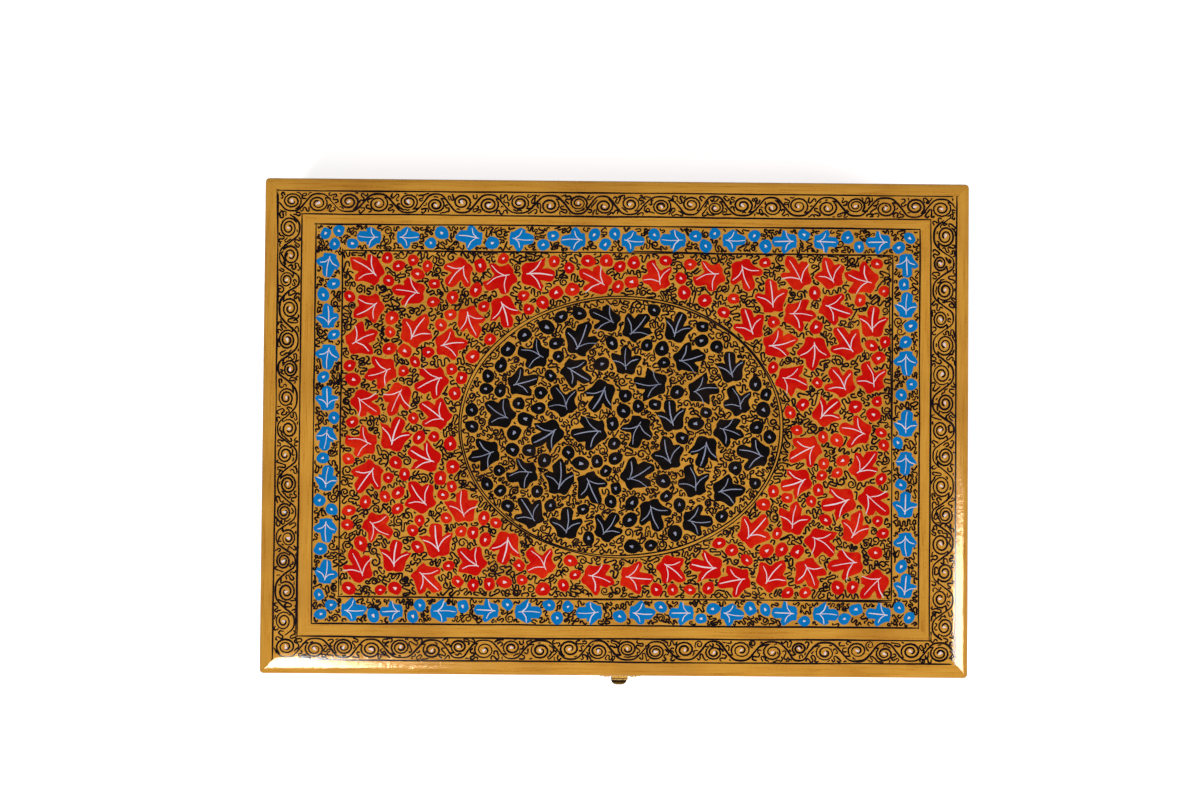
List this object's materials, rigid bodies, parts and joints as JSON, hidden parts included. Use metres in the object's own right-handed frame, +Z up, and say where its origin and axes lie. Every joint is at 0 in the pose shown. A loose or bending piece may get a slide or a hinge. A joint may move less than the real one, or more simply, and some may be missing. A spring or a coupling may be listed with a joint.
{
  "type": "papier mache box",
  "caption": "Flat rectangular papier mache box with a hinged tray lid, bevelled top, velvet lining and a small brass hasp, painted with chinar leaves.",
  "frame": {"origin": "centre of the underside, on the face that the box stands on", "axes": "+X to the right along the length, +Z up, the hasp on the -Y side and the hinges on the +Y side"},
  "size_m": [0.254, 0.1841, 0.0763],
  "materials": {
    "gold_lacquer": "gold paint over paper pulp, painted design, clear lacquer",
    "paint": "brush-painted ornament under clear lacquer",
    "brass": "stamped sheet brass, slightly tarnished",
    "steel_pin": "plain drawn wire",
    "velvet": "short-pile maroon velvet on card",
    "base_flock": "black flocked cloth"
  },
  "bodies": {
    "case": {"case_floor": "gold_lacquer", "case_front_wall": "gold_lacquer", "case_back_wall": "gold_lacquer", "case_left_wall": "gold_lacquer", "case_right_wall": "gold_lacquer", "case_corner_pins": "steel_pin", "base_flock": "base_flock", "lining_front": "velvet", "lining_back": "velvet", "lining_left": "velvet", "lining_right": "velvet", "floor_pad": "velvet", "clasp_catch_plate": "brass", "clasp_catch_nails": "brass", "hinge_left_case_leaf": "brass", "hinge_right_case_leaf": "brass", "hinge_left_pin": "brass", "hinge_right_pin": "brass", "hinge_case_screws": "brass"},
    "lid": {"lid_board": "gold_lacquer", "lid_front_rail": "gold_lacquer", "lid_back_rail": "gold_lacquer", "lid_left_rail": "gold_lacquer", "lid_right_rail": "gold_lacquer", "lid_corner_pins": "steel_pin", "lid_pad": "velvet", "hinge_left_lid_leaf": "brass", "hinge_right_lid_leaf": "brass", "hinge_lid_screws": "brass", "clasp_plate": "brass", "clasp_plate_nails": "brass", "clasp_pin": "brass"},
    "clasp_tongue": {"clasp_tongue": "brass"}
  },
  "joints": [
    {"name": "lid_hinge", "type": "hinge", "parent": "case", "child": "lid", "pos_m": [0, 0.0875, 0.05672], "axis": [-1, 0, 0], "range_deg": [0, 105]},
    {"name": "clasp_swing", "type": "hinge", "parent": "lid", "child": "clasp_tongue", "pos_m": [0.0024, -0.09055, 0.05833], "axis": [-1, 0, 0], "range_deg": [0, 150]}
  ]
}
